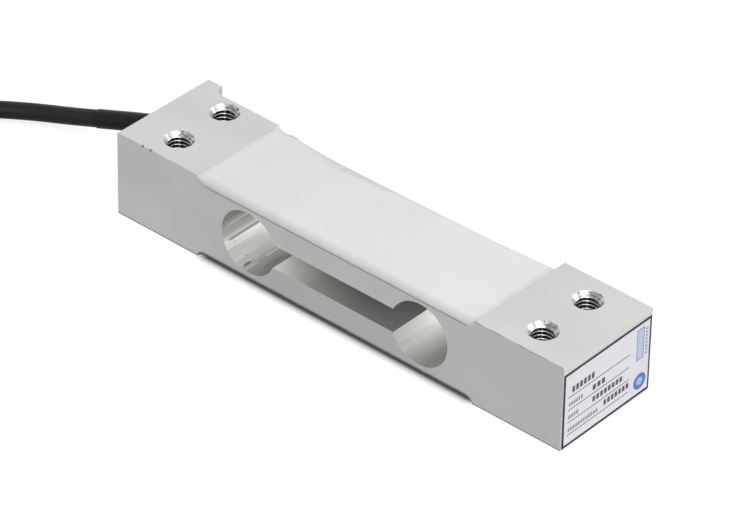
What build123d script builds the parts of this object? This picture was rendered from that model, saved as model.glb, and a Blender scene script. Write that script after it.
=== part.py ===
"""Single point load cell: a milled aluminium bending beam with a binocular cut-out.

Millimetres. The origin is on the ground under the middle of the beam, +X runs towards the
load end that carries the label, -X towards the fixed end with the cable, -Y is the plain
front face and +Y the milled rear face. The beam lies on its two end pads.
"""

import math
import os

from build123d import *

# Beam
body_length = 130.0
body_width = 30.0
body_height = 22.0
edge_break = 0.15

# Gauge recesses on the top and the bottom
recess_length = 81.0
recess_depth = 2.0
recess_fillet = 2.2

# Wiring pocket in the rear face
pocket_depth = 2.9
pocket_land = 4.3
pocket_length = 101.1
pocket_fillet = 2.8

# Binocular cut-out
gauge_wall = 0.95
lobe_spacing = 50.0
slot_height = 6.2

# Tapped mounting holes
bolt_spacing_x = 106.0
bolt_spacing_y = 15.0
thread_bore = 5.0
countersink_diameter = 7.2

# Cable bore, its seal and the cable's sleeve
cable_diameter = 4.2
sleeve_wall = 0.2
seal_wall = 0.6
seal_length = 3.0
bore_rear_wall = 1.1
bore_height = 8.0
bore_depth = 8.0
jacket_inset = 4.0

# Silicone coatings
top_coat_thickness = 1.85
bottom_coat_thickness = 1.6
side_coat_thickness = 2.2
side_coat_cover = 1.2
side_coat_inset = 0.7
side_coat_round = 0.9
coat_front_round = 1.45
coat_rear_round = 0.6
wire_cover = 0.15

# Strain gauges
film_length = 9.0
film_width = 6.4
film_corner = 0.5
film_thickness = 0.1
foil_thickness = 0.04
grid_lines = 8
grid_length = 5.0
grid_line_width = 0.2
grid_pitch = 0.4
tab_size = 1.2
tab_spacing = 2.2
tab_gap = 0.5
bead_diameter = 0.9
bead_height = 0.45

# Gauge wires
wire_diameter = 0.3
wire_lift = 0.03
wire_spacing = 0.6
lane_from_lobe = 2.5
load_wire_offset = 4.6

# Terminal board and what is soldered to it
board_length = 8.0
board_height = 14.0
board_thickness = 0.4
board_from_lobe = 7.0
pad_inset = 1.6
core_pad_pitch = 2.8
wire_pad_pitch = 1.5
core_bead_diameter = 1.9
core_bead_height = 1.15
resistor_length = 2.0
resistor_width = 1.25
resistor_height = 0.5
resistor_spacing = 5.0

# Cable cores, from the jacket to the board and at the cable's stripped end
core_diameter = 1.1
core_lay_radius = 1.0
core_bend = 1.3
inner_fan_start = 0.6
inner_fan_length = 3.2
inner_core_gap = 0.6
outer_fan_start = 3.0
outer_fan_length = 9.0
outer_core_run = 7.0
outer_core_bend = 6.0
outer_core_spread = (-1.4, 1.2, -6.6, -4.0)
tip_diameter = 0.6
tip_length = 5.0
drain_diameter = 0.5

# Label on the load end, put on a little crooked
label_margin = 0.3
label_height = 19.6
label_middle = 10.3
label_tilt = 0.7
label_thickness = 0.1

# The put-away length: a flat folded hank, two strands beside each other, held by two ties
hank_run = 40.0
hank_bend = 14.1
hank_tail_run = 22.0
tie_width = 4.0
tie_thickness = 0.6
tie_clearance = 0.05
hank_height = cable_diameter / 2 + tie_clearance + tie_thickness

# The cable's route: X and Y from its exit, and height above the ground
cable_route = [
    (jacket_inset, 0.0, bore_height),
    (-5.0, 0.0, bore_height),
    (-12.6, -2.2, 7.05),
    (-19.4, -4.5, 5.8),
    (-31.5, -8.8, 3.63),
    (-40.0, -12.4, 2.73),
    (-48.0, -17.4, 2.3),
    (-55.5, -23.8, 2.3),
    (-62.6, -30.3, 2.4),
    (-68.8, -34.0, 2.6),
    (-75.8, -35.95, hank_height),
    (-83.0, -35.95, hank_height),
]
sleeve_corners = 3
sleeve_share = 0.5

# Worked out from the sizes above
exit_x = -body_length / 2
label_x = body_length / 2
rear_wall = body_width / 2 - pocket_depth
floor_top = body_height - recess_depth
mid_height = body_height / 2
lobe_radius = mid_height - recess_depth - gauge_wall
label_width = body_width - 2 * label_margin
land_mid_y = (rear_wall - body_width / 2) / 2
pocket_start = exit_x + pocket_land
sleeve_radius = cable_diameter / 2 + sleeve_wall
bore_radius = sleeve_radius + seal_wall
bore_y = body_width / 2 - bore_rear_wall - bore_radius
lobe_end = -(lobe_spacing / 2 + lobe_radius)
wire_radius = wire_diameter / 2
core_radius = core_diameter / 2
board_left = lobe_end - board_from_lobe - board_length
board_face = rear_wall + board_thickness
wire_height = floor_top + film_thickness + foil_thickness + wire_lift + wire_radius
wire_rear_y = board_face + wire_lift + wire_radius
core_rear_y = board_face + wire_lift + core_radius
route_points = [(exit_x + x, bore_y + y, z) for x, y, z in cable_route]

SIDES = ("top", "bottom")
ENDS = ("fixed", "load")
CORE_COLOURS = ("red", "green", "white", "black")
# where each core lies in the cable, as an angle round its axis
CORE_ANGLES = (90, 0, 180, 270)


def box(low, high):
    """A box between two corners."""
    size = [h - l for l, h in zip(low, high)]
    middle = [(h + l) / 2 for l, h in zip(low, high)]
    return Pos(*middle) * Box(*size)


def rod(start, end, radius):
    """A round rod between two points."""
    axis = Vector(*end) - Vector(*start)
    return extrude(Plane(origin=start, z_dir=axis) * Circle(radius), axis.length)


def corner_radii(points, share=0.45):
    """The largest fair arc at each corner of a route."""
    radii = []
    for a, b, c in zip(points, points[1:], points[2:]):
        first = Vector(*b) - Vector(*a)
        second = Vector(*c) - Vector(*b)
        half_turn = math.radians(first.get_angle(second)) / 2
        radii.append(share * min(first.length, second.length) / math.tan(half_turn))
    return radii


def tube(points, radii, radius, inner=0.0):
    """A round bar or pipe along straight runs joined by tangent arcs."""
    path = FilletPolyline(*points, radius=radii)
    section = Circle(radius)
    if inner:
        section -= Circle(inner)
    return sweep(Plane(origin=path @ 0, z_dir=path % 0) * section, path=path)


def core(points, bend):
    """A cable core with the same bend at every corner."""
    return tube(points, [bend] * (len(points) - 2), core_radius)


def fine_wire(points):
    """A hair-thin wire: six-sided, with mitred corners."""
    path = Polyline(*points)
    section = Plane(origin=path @ 0, z_dir=path % 0) * RegularPolygon(wire_radius, 6)
    return sweep(section, path=path, transition=Transition.RIGHT)


def mirrored(shape):
    """The same shape on the other side of the beam's mid height."""
    return mirror(shape, about=Plane.XY.offset(mid_height))


def on_side(shape, side):
    """A shape that was made for the top, moved to its side."""
    return shape if side == "top" else mirrored(shape)


def minus_all(shape, tools):
    for tool in tools:
        shape = shape - tool
    return shape


# The beam


def recess_void():
    """The top recess as a prism across the beam, with a concave fillet at each end of its floor."""
    half = recess_length / 2
    top = body_height + recess_fillet
    void = box((-half, -body_width, floor_top), (half, body_width, top))
    return fillet(void.edges().filter_by(Axis.Y).group_by(Axis.Z)[0], recess_fillet)


def pocket_void():
    """The wiring pocket as a prism up the rear face, with a concave fillet at each end."""
    low = (pocket_start, rear_wall, -body_height)
    high = (pocket_start + pocket_length, body_width / 2 + pocket_fillet, 2 * body_height)
    void = box(low, high)
    return fillet(void.edges().filter_by(Axis.Z).group_by(Axis.Y)[0], pocket_fillet)


def cutout_void():
    """The binocular cut-out: two round lobes joined by a slot, right through front to rear."""
    lobe = Cylinder(lobe_radius, 2 * body_width, rotation=(90, 0, 0))
    lobes = Pos(-lobe_spacing / 2, 0, 0) * lobe + Pos(lobe_spacing / 2, 0, 0) * lobe
    return Pos(0, 0, mid_height) * (lobes + Box(lobe_spacing, 2 * body_width, slot_height))


def bolt_void(x, y):
    """One tapped hole, right through, with a countersink at each mouth."""
    minor = thread_bore / 2
    outer = countersink_diameter / 2
    depth = outer - minor
    outline = Polyline(
        (0, 0, -depth),
        (outer + depth, 0, -depth),
        (minor, 0, depth),
        (minor, 0, body_height - depth),
        (outer + depth, 0, body_height + depth),
        (0, 0, body_height + depth),
        close=True,
    )
    return Pos(x, y, 0) * revolve(make_face(outline), Axis.Z)


def cable_bore():
    start = (exit_x - 1, bore_y, bore_height)
    return rod(start, (exit_x + bore_depth, bore_y, bore_height), bore_radius)


def beam():
    block = Pos(0, 0, mid_height) * Box(body_length, body_width, body_height)
    block = chamfer(block.edges().filter_by(Axis.Z).group_by(Axis.X)[-1], edge_break)
    rims = block.edges().group_by(Axis.Z)
    block = chamfer(rims[0] + rims[-1], edge_break)
    voids = [recess_void(), mirrored(recess_void()), pocket_void(), cutout_void(), cable_bore()]
    for x in (-bolt_spacing_x / 2, bolt_spacing_x / 2):
        for y in (-bolt_spacing_y / 2, bolt_spacing_y / 2):
            voids.append(bolt_void(x, y))
    return minus_all(block, voids)


# Strain gauges on the two thin walls over and under each lobe


def gauge_x(end):
    return -lobe_spacing / 2 if end == "fixed" else lobe_spacing / 2


def tab_points(end):
    """The middles of a gauge's two solder tabs, the rear one first."""
    x = gauge_x(end) - grid_length / 2 - tab_gap - tab_size / 2
    return [(x, land_mid_y + tab_spacing / 2), (x, land_mid_y - tab_spacing / 2)]


def gauge_block(end, thickness):
    """The backing film's outline over the top floor, as high as asked."""
    x = gauge_x(end) - tab_size / 2
    low = (x - film_length / 2, land_mid_y - film_width / 2, floor_top)
    high = (x + film_length / 2, land_mid_y + film_width / 2, floor_top + thickness)
    block = box(low, high)
    return fillet(block.edges().filter_by(Axis.Z), film_corner)


def gauge_film(end, side):
    return on_side(gauge_block(end, film_thickness), side)


def gauge_grid(end, side):
    """A foil track that runs to and fro along the beam, with a solder tab at each of its ends."""
    x = gauge_x(end)
    first_y = land_mid_y + grid_pitch * (grid_lines - 1) / 2
    last_y = first_y - grid_pitch * (grid_lines - 1)
    width = grid_line_width
    bars = []
    for i in range(grid_lines):
        y = first_y - i * grid_pitch
        bars.append(Pos(x, y) * Rectangle(grid_length, width))
        if i < grid_lines - 1:
            turn_x = x + (1 if i % 2 == 0 else -1) * (grid_length - width) / 2
            bars.append(Pos(turn_x, y - grid_pitch / 2) * Rectangle(width, grid_pitch + width))
    for (tab_x, tab_y), line_y in zip(tab_points(end), (first_y, last_y)):
        low_y = min(tab_y - tab_size / 2, line_y - width / 2)
        high_y = max(tab_y + tab_size / 2, line_y + width / 2)
        bars.append(Pos(tab_x, (low_y + high_y) / 2) * Rectangle(tab_size, high_y - low_y))
        lead_x = x - grid_length / 2 - tab_gap / 2
        bars.append(Pos(lead_x, line_y) * Rectangle(tab_gap + 2 * width, width))
    track = bars[0].fuse(*bars[1:])
    grid = extrude(Pos(0, 0, floor_top + film_thickness) * track.face(), foil_thickness)
    return on_side(grid, side)


def gauge_beads(end, side):
    """The two solder joints of a gauge."""
    base = floor_top + film_thickness + foil_thickness
    ends = [((x, y, base), (x, y, base + bead_height)) for x, y in tab_points(end)]
    return [on_side(rod(low, high, bead_diameter / 2), side) for low, high in ends]


def lane_x(number):
    """Where a gauge wire goes over the rear edge, counted from the lobe to the fixed end."""
    return lobe_end - lane_from_lobe - number * wire_spacing


def wire_pad_height(number):
    """How high a top gauge wire meets the terminal board."""
    return mid_height + wire_pad_pitch * (number + 2 / 3)


def gauge_wires(end, side):
    """A gauge's two wires, along the floor, over the rear edge and down to the board."""
    pad_x = board_left + board_length - pad_inset
    wires = []
    for i, (x, y) in enumerate(tab_points(end)):
        number = i if end == "load" else i + 2
        route = [(x, y, wire_height)]
        if end == "load":
            turn_x = x - tab_size - i * wire_spacing
            run_y = land_mid_y + load_wire_offset - i * wire_spacing
            route += [(turn_x, y, wire_height), (turn_x, run_y, wire_height)]
            y = run_y
        x = lane_x(number)
        z = wire_pad_height(number)
        route += [(x, y, wire_height), (x, wire_rear_y, wire_height)]
        route += [(x, wire_rear_y, z), (pad_x, wire_rear_y, z)]
        wires.append(on_side(fine_wire(route), side))
    return wires


# The terminal board in the pocket, and what is soldered to it


def terminal_board():
    low = (board_left, rear_wall, mid_height - board_height / 2)
    return box(low, (board_left + board_length, board_face, mid_height + board_height / 2))


def trim_resistor(direction):
    x = board_left + board_length / 2
    z = mid_height + direction * resistor_spacing / 2
    low = (x - resistor_width / 2, board_face, z - resistor_length / 2)
    high = (x + resistor_width / 2, board_face + resistor_height, z + resistor_length / 2)
    return box(low, high)


def wire_board_beads():
    """The solder joints of the eight gauge wires."""
    x = board_left + board_length - pad_inset
    beads = []
    for number in range(len(SIDES) * len(ENDS)):
        z = wire_pad_height(number)
        bead = rod((x, board_face, z), (x, board_face + bead_height, z), bead_diameter / 2)
        beads += [bead, mirrored(bead)]
    return beads


def core_pad_height(number):
    return mid_height + core_pad_pitch * (1.5 - number)


def core_board_beads():
    """The solder joints of the four cable cores."""
    x = board_left + pad_inset
    beads = []
    for number in range(len(CORE_COLOURS)):
        z = core_pad_height(number)
        top = (x, board_face + core_bead_height, z)
        beads.append(rod((x, board_face, z), top, core_bead_diameter / 2))
    return beads


def core_place(number, y, z):
    """Where a core lies in the cable whose axis is at y and z."""
    angle = math.radians(CORE_ANGLES[number])
    return y + core_lay_radius * math.cos(angle), z + core_lay_radius * math.sin(angle)


def inner_core(number):
    """A cable core from the jacket's end in the bore, round behind the wall, to its pad."""
    y, z = core_place(number, bore_y, bore_height)
    start_x = exit_x + jacket_inset
    fan_x = start_x + inner_fan_start
    rear_x = fan_x + inner_fan_length
    rear_z = bore_height + (1.5 - number) * (core_diameter + inner_core_gap)
    pad_z = core_pad_height(number)
    route = [
        (start_x, y, z),
        (fan_x, y, z),
        (rear_x, core_rear_y, rear_z),
        (board_left, core_rear_y, pad_z),
        (board_left + pad_inset, core_rear_y, pad_z),
    ]
    return core(route, core_bend)


# Silicone coatings


def floor_coating(thickness, buried):
    """The coating of the top recess: it fills the end fillets and is rounded along both edges."""
    half = recess_length / 2
    top = floor_top + thickness
    slab = box((-half, -body_width / 2, floor_top), (half, rear_wall, top))
    rims = slab.edges().filter_by(Axis.X).group_by(Axis.Z)[-1].sort_by(Axis.Y)
    slab = fillet(rims[0], coat_front_round)
    rims = slab.edges().filter_by(Axis.X).group_by(Axis.Z)[-1].sort_by(Axis.Y)
    slab = fillet(rims[-1], coat_rear_round)
    return minus_all(slab & recess_void(), buried)


def side_coating(buried):
    """The coating over the board in the pocket, with a tongue over the wires at the top and the bottom."""
    last_x = lane_x(0) + side_coat_cover
    low_z = recess_depth + side_coat_inset
    low = (pocket_start, rear_wall, low_z)
    high = (last_x, rear_wall + side_coat_thickness, floor_top - side_coat_inset)
    pad = box(low, high)
    outer = pad.faces().sort_by(Axis.Y)[-1]
    pad = fillet(outer.edges(), side_coat_round) & pocket_void()
    tongue_top = wire_height + wire_radius + wire_cover
    tongue_low = (lane_x(3) - wire_spacing, rear_wall, mid_height)
    tongue_high = (lane_x(0) + wire_spacing, wire_rear_y + wire_radius + wire_cover, tongue_top)
    tongue = box(tongue_low, tongue_high)
    return minus_all(pad + tongue + mirrored(tongue), buried)


# The cable


def cable_jacket():
    return tube(route_points, corner_radii(route_points), cable_diameter / 2)


def cable_sleeve():
    """Shrink sleeve on the cable, from inside the seal to half way along one of its runs."""
    count = sleeve_corners + 1
    last, after = Vector(*route_points[count - 1]), Vector(*route_points[count])
    start = (exit_x + seal_length, bore_y, bore_height)
    points = [start, *route_points[1:count], tuple(last + (after - last) * sleeve_share)]
    radii = corner_radii(route_points)[:sleeve_corners]
    return tube(points, radii, sleeve_radius, cable_diameter / 2)


def cable_seal():
    """A ring of sealant round the sleeve in the mouth of the bore."""
    start = (exit_x, bore_y, bore_height)
    end = (exit_x + seal_length, bore_y, bore_height)
    return rod(start, end, bore_radius) - rod(start, end, sleeve_radius)


# The hank lies along X. Its front run starts where the route ends
hank_front_x, hank_front_y, _ = route_points[-1]
hank_far_x = hank_front_x - hank_run
hank_mid_y = hank_front_y + hank_bend + cable_diameter
hank_pair_y = hank_bend + cable_diameter / 2
tail_x = hank_far_x + hank_tail_run
tail_y = hank_mid_y + hank_bend


def strands(x, y, pair):
    """The section of one strand or of two beside each other, facing along X."""
    section = SlotOverall(2 * cable_diameter, cable_diameter) if pair else Circle(cable_diameter / 2)
    return Plane(origin=(x, y, hank_height), x_dir=(0, 1, 0), z_dir=(1, 0, 0)) * section


def hank():
    """Front run, far bend, rear run with the cable's end, and the near bend back to the front."""
    rear_y = hank_mid_y + hank_pair_y
    outer_y = hank_mid_y + hank_bend + cable_diameter
    near_mid_y = hank_mid_y + cable_diameter / 2
    far_axis = Axis((hank_far_x, hank_mid_y, 0), (0, 0, 1))
    near_axis = Axis((hank_front_x, near_mid_y, 0), (0, 0, 1))
    front = extrude(strands(hank_far_x, hank_mid_y - hank_pair_y, True), hank_run)
    far = revolve(strands(hank_far_x, rear_y, True), far_axis, 180)
    rear = extrude(strands(hank_far_x, rear_y, True), hank_tail_run)
    outer = extrude(strands(tail_x, outer_y, False), hank_run - hank_tail_run)
    near = revolve(strands(hank_front_x, hank_mid_y - hank_bend, False), near_axis, 180)
    return front + far + rear + outer + near


def hank_tie(x, y):
    """A flat strap round the two strands of a run."""
    room = cable_diameter + 2 * tie_clearance
    wide = 2 * cable_diameter + 2 * tie_clearance
    outer = SlotOverall(wide + 2 * tie_thickness, room + 2 * tie_thickness)
    ring = outer - SlotOverall(wide, room)
    start = Plane(origin=(x - tie_width / 2, y, hank_height), x_dir=(0, 1, 0), z_dir=(1, 0, 0))
    return extrude(start * ring, tie_width)


def outer_core_route(number):
    """A stripped core from the cable's end down to the ground, fanned out from its neighbours."""
    y, z = core_place(number, tail_y, hank_height)
    fan_x = tail_x + outer_fan_start
    flat_x = fan_x + outer_fan_length
    end_y = tail_y + outer_core_spread[number]
    return [
        (tail_x, y, z),
        (fan_x, y, z),
        (flat_x, end_y, core_radius),
        (flat_x + outer_core_run, end_y, core_radius),
    ]


def core_tip(number):
    """The tinned wire that stands out of a core's end."""
    x, y, z = outer_core_route(number)[-1]
    return rod((x, y, z), (x + tip_length, y, z), tip_diameter / 2)


def drain_wire():
    """The bare screen wire, which leaves the cable between its cores."""
    fan_x = tail_x + outer_fan_start
    flat_x = fan_x + outer_fan_length
    z = drain_diameter / 2
    route = [
        (tail_x, tail_y, hank_height),
        (fan_x, tail_y, hank_height),
        (flat_x, tail_y, z),
        (flat_x + outer_core_run + tip_length, tail_y, z),
    ]
    return tube(route, [outer_core_bend] * 2, drain_diameter / 2)


def end_label():
    film = Box(label_thickness, label_width, label_height)
    return Pos(label_x + label_thickness / 2, 0, label_middle) * Rot(label_tilt, 0, 0) * film


def group(solids):
    return Compound(children=[s for shape in solids for s in shape.solids()])


def build():
    parts = {"load_cell_body": beam()}
    for side in SIDES:
        buried = []
        for end in ENDS:
            name = f"{side}_{end}"
            wires = gauge_wires(end, side)
            beads = gauge_beads(end, side)
            parts["gauge_film_" + name] = gauge_film(end, side)
            parts["gauge_grid_" + name] = gauge_grid(end, side)
            parts["gauge_wires_" + name] = group(wires)
            parts["gauge_solder_" + name] = group([minus_all(b, wires) for b in beads])
            buried.append(gauge_block(end, film_thickness + foil_thickness))
            buried += gauge_beads(end, "top") + gauge_wires(end, "top")
        thickness = top_coat_thickness if side == "top" else bottom_coat_thickness
        parts[side + "_coating"] = on_side(floor_coating(thickness, buried), side)

    cores = [inner_core(n) for n in range(len(CORE_COLOURS))]
    wires = [w for side in SIDES for end in ENDS for w in gauge_wires(end, side)]
    board = terminal_board()
    resistors = {"zero_trim_resistor": trim_resistor(1), "span_trim_resistor": trim_resistor(-1)}
    wire_beads, core_beads = wire_board_beads(), core_board_beads()
    parts["terminal_board"] = board
    parts.update(resistors)
    parts["board_wire_solder"] = group([minus_all(b, wires) for b in wire_beads])
    parts["board_core_solder"] = group([minus_all(b, cores) for b in core_beads])
    for colour, solid in zip(CORE_COLOURS, cores):
        parts["inner_core_" + colour] = solid
    buried = [board, *resistors.values(), *wire_beads, *core_beads, *cores, *wires]
    parts["side_coating"] = side_coating(buried)

    parts["cable_seal"] = cable_seal()
    parts["cable_sleeve"] = cable_sleeve()
    parts["cable_jacket"] = cable_jacket()
    parts["cable_hank"] = hank()
    tie_x = hank_far_x + hank_tail_run / 2
    parts["hank_tie_front"] = hank_tie(tie_x, hank_mid_y - hank_pair_y)
    parts["hank_tie_rear"] = hank_tie(tie_x, hank_mid_y + hank_pair_y)
    for number, colour in enumerate(CORE_COLOURS):
        parts["outer_core_" + colour] = core(outer_core_route(number), outer_core_bend)
        parts["core_tip_" + colour] = core_tip(number)
    parts["drain_wire"] = drain_wire()
    parts["end_label"] = end_label()
    return parts


if __name__ == "__main__":
    os.makedirs("parts", exist_ok=True)
    radii = corner_radii(route_points)
    print("cable route radii", [round(r, 1) for r in radii])
    path = FilletPolyline(*route_points, radius=radii)
    parts = build()
    section = math.pi * cable_diameter**2 / 4
    print("jacket volume", round(parts["cable_jacket"].volume, 1), "and", round(section * path.length, 1))
    for name, shape in parts.items():
        export_step(shape, f"parts/{name}.step")
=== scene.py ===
import math

import bmesh
import bpy
import numpy as np
from bpy.props import FloatProperty, FloatVectorProperty, PointerProperty
from mathutils import Matrix, Vector


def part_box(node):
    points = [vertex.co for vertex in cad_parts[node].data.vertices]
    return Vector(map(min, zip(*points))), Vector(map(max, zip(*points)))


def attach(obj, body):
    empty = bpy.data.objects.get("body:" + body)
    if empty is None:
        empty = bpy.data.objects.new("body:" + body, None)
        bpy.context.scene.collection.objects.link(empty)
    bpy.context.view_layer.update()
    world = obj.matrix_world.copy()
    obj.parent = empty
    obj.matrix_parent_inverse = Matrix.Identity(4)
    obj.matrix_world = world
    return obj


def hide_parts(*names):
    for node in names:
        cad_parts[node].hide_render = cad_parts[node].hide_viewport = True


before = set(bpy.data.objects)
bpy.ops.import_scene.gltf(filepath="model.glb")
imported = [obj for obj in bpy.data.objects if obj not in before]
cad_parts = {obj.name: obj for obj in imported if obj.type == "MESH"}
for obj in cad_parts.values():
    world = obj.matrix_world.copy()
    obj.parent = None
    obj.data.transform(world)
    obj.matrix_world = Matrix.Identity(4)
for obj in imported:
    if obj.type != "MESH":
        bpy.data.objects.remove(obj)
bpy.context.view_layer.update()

bl_info = {
    "name": "Single point load cell",
    "version": (1, 0, 0),
    "blender": (4, 5, 0),
    "location": "3D View > Sidebar > Load cell",
    "description": "Dresses a milled bending beam with its threads, silicone, label and cable",
    "category": "Object",
}

MM = 0.001
ROOT = "root"

# Sizes of the solids that the pieces here follow, in millimetres
BODY_LOW, BODY_HIGH = (np.array(corner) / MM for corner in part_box("load_cell_body"))
MID_HEIGHT = (BODY_LOW[2] + BODY_HIGH[2]) / 2
RECESS_HALF = 40.5
RECESS_DEPTH = 2.0
RECESS_FILLET = 2.2
REAR_WALL = 12.1
LOBE_X = 25.0
LOBE_RADIUS = 8.05
HOLE_X = 53.0
HOLE_Y = 7.5
COUNTERSINK_RADIUS = 3.6

# The M6 thread: radii and pitch, and the shares of half a pitch that its flat crest and its flank take
THREAD_MINOR = 2.5
THREAD_MAJOR = 3.0
THREAD_PITCH = 1.0
CREST_SHARE = 0.2
FLANK_SHARE = 0.65
THREAD_ROWS = 331
THREAD_SIDES = 72

# The sleeve: its wall, how far it starts inside the beam, and its rings and their sides
SLEEVE_WALL = 0.2
SLEEVE_INSIDE = 3.0
SLEEVE_RINGS = 90
SLEEVE_SIDES = 48

# The cable: its exit, and its route by X and Y from there and by height above the ground
CABLE_RADIUS = 2.1
CABLE_EXIT = (-65.0, 11.0, 8.0)
CABLE_ROUTE = [
    (4.0, 0.0, 8.0),
    (-5.0, 0.0, 8.0),
    (-12.6, -2.2, 7.05),
    (-19.4, -4.5, 5.8),
    (-31.5, -8.8, 3.63),
    (-40.0, -12.4, 2.73),
    (-48.0, -17.4, 2.3),
    (-55.5, -23.8, 2.3),
    (-62.6, -30.3, 2.4),
    (-68.8, -34.0, 2.6),
    (-75.8, -35.95, 2.75),
    (-83.0, -35.95, 2.75),
]
HANK_RUN = 40.0
HANK_BEND = 14.1
HANK_TAIL = 22.0
HANK_STEPS = 6

# The camera, solved from the beam's corners, holes and lobes in the 750 x 511 picture
PHOTO_WIDTH = 750
FOCAL_PIXELS = 4827.59
SENSOR = 36.0
EYE = (562.59, -658.96, 628.45)
CAMERA_RIGHT = (0.75052, 0.66054, 0.02004)
CAMERA_DOWN = (0.39538, -0.42453, -0.81453)

# How bright the metal mirrors the sky, and how much less of the floor's glow it mirrors
MIRRORED_SKY = 1.5
MIRRORED_FLOOR = 0.35

# The floor: half its width in metres, its grey where it gathers light and where it is seen, and within
# how many millimetres a piece casts a painted shadow on it
FLOOR_HALF = 3.0
FLOOR_GREY = (0.55, 0.55, 0.55, 1.0)
FLOOR_SEEN = (0.2, 0.2, 0.2, 1.0)
FLOOR_SHADOW = 4.0

# The lamps: name, place and side of the square in metres
LAMPS = [
    ("key", (0.42, -0.1, 0.72), 0.6),
    ("fill", (0.75, -0.86, 0.80), 0.7),
    ("rear", (0.7, 0.85, 0.3), 0.7),
]

BLACK = (0.0, 0.0, 0.0, 1.0)
WAVE_COUNT = 7


# Objects, and meshes from grids of points


def placed(name, data):
    """A new object in the scene."""
    piece = bpy.data.objects.new(name, data)
    bpy.context.scene.collection.objects.link(piece)
    return piece


def grid_points(x, y, z):
    """The points of a grid from their axes, each of which may change along both of its directions."""
    return np.stack(np.broadcast_arrays(x, y, z), -1)


def grid_faces(rows, columns, wrap_rows=False, wrap_columns=False):
    """Quads between the points (i, j) of a grid, whose last row or column may join the first."""
    i = np.arange(rows if wrap_rows else rows - 1)[:, None]
    j = np.arange(columns if wrap_columns else columns - 1)[None, :]
    below, beside = (i + 1) % rows, (j + 1) % columns
    corners = [i * columns + j, below * columns + j, below * columns + beside, i * columns + beside]
    return np.stack([np.broadcast_to(c, (i.size, j.size)) for c in corners], -1).reshape(-1, 4)


def make_piece(name, points, faces, smooth_angle):
    """A mesh object from points in millimetres, with its normals outwards, riding on the one body."""
    mesh = bpy.data.meshes.new(name)
    mesh.from_pydata((np.asarray(points).reshape(-1, 3) * MM).tolist(), [], [list(f) for f in faces])
    mesh.validate()
    piece = placed(name, mesh)
    finish_mesh(piece, smooth_angle)
    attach(piece, ROOT)
    return piece


def finish_mesh(piece, smooth_angle):
    """Merges doubles, turns the faces outwards by the volume's sign and shades smooth up to an angle."""
    work = bmesh.new()
    work.from_mesh(piece.data)
    bmesh.ops.remove_doubles(work, verts=work.verts, dist=1e-7)
    if work.calc_volume(signed=True) < 0:
        bmesh.ops.reverse_faces(work, faces=work.faces)
    work.to_mesh(piece.data)
    work.free()
    piece.data.shade_smooth()
    piece.data.set_sharp_from_angle(angle=math.radians(smooth_angle))


def dress(piece, material):
    """Gives a piece its one material."""
    piece.data.materials.clear()
    piece.data.materials.append(material)


def waves(x, y, seed, length):
    """A smooth random surface from -1 to 1: the mean of a few sine waves in random directions."""
    random = np.random.default_rng(seed)
    total = np.zeros(np.broadcast(x, y).shape)
    for _ in range(WAVE_COUNT):
        turn, phase = random.uniform(0, 2 * np.pi, 2)
        rate = random.uniform(0.5, 1.5) / length
        total += np.sin((x * np.cos(turn) + y * np.sin(turn)) * rate * 2 * np.pi + phase)
    return total / WAVE_COUNT


# Materials from nodes


class Tree:
    """A node tree, with short calls for the nodes that are used most."""

    def __init__(self, tree):
        self.tree = tree

    def add(self, kind, values=None, **settings):
        """A node with its settings, and with values or links in its inputs."""
        made = self.tree.nodes.new(kind)
        for key, value in settings.items():
            setattr(made, key, value)
        for key, value in (values or {}).items():
            self.put(value, made.inputs[key])
        return made

    def put(self, value, socket):
        """Links a socket to an output, or sets it to a value."""
        if isinstance(value, bpy.types.NodeSocket):
            self.tree.links.new(value, socket)
        else:
            socket.default_value = value

    def math(self, operation, a, b=0.0, **settings):
        return self.add("ShaderNodeMath", {0: a, 1: b}, operation=operation, **settings).outputs[0]

    def plus(self, a, b, **settings):
        return self.math("ADD", a, b, **settings)

    def minus(self, a, b):
        return self.math("SUBTRACT", a, b)

    def times(self, a, b):
        return self.math("MULTIPLY", a, b)

    def absolute(self, a):
        return self.math("ABSOLUTE", a)

    def larger(self, a, b):
        return self.math("MAXIMUM", a, b)

    def glossy_rays(self):
        """1 for a ray from a mirroring surface."""
        return self.add("ShaderNodeLightPath").outputs["Is Glossy Ray"]

    def seen_rays(self):
        """1 for a ray from the camera, a mirror or a glass, and 0 for a ray that gathers light."""
        rays = self.add("ShaderNodeLightPath").outputs
        mirrored = self.plus(rays["Is Camera Ray"], rays["Is Glossy Ray"], use_clamp=True)
        return self.plus(mirrored, rays["Is Transmission Ray"], use_clamp=True)


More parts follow.
